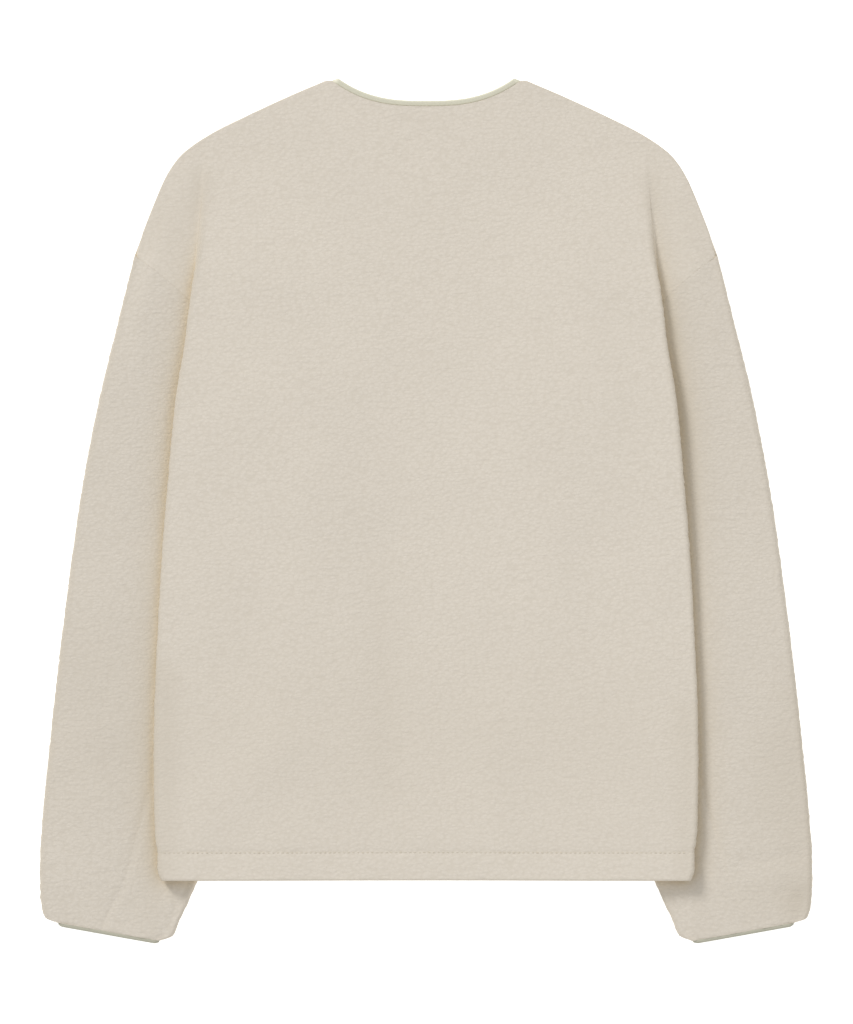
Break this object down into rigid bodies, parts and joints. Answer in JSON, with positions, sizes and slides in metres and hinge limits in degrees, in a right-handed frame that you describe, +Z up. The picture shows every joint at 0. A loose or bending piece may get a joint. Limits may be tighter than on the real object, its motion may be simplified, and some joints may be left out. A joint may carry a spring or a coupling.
{
  "type": "collarless sherpa jacket",
  "caption": "Collarless sherpa fleece jacket laid flat on its front, back up, long sleeves swung down beside and partly under the body, bound neck and cuffs, turned hem.",
  "frame": {"origin": "on the surface the jacket lies on, under the middle of its outline", "axes": "+X towards the wearer's right sleeve, which is on the right with the back up, +Y from hem to neck, +Z up out of the surface"},
  "size_m": [0.6554, 0.7357, 0.0199],
  "materials": {
    "sherpa": "curly cream pile",
    "binding": "smooth pale sage tape"
  },
  "bodies": {
    "root": {"back": "sherpa", "front_left": "sherpa", "front_right": "sherpa", "sleeve_left": "sherpa", "sleeve_right": "sherpa", "cuff_binding_left": "binding", "cuff_binding_right": "binding", "neck_binding_back": "binding", "neck_binding_front_left": "binding", "neck_binding_front_right": "binding"}
  },
  "joints": []
}
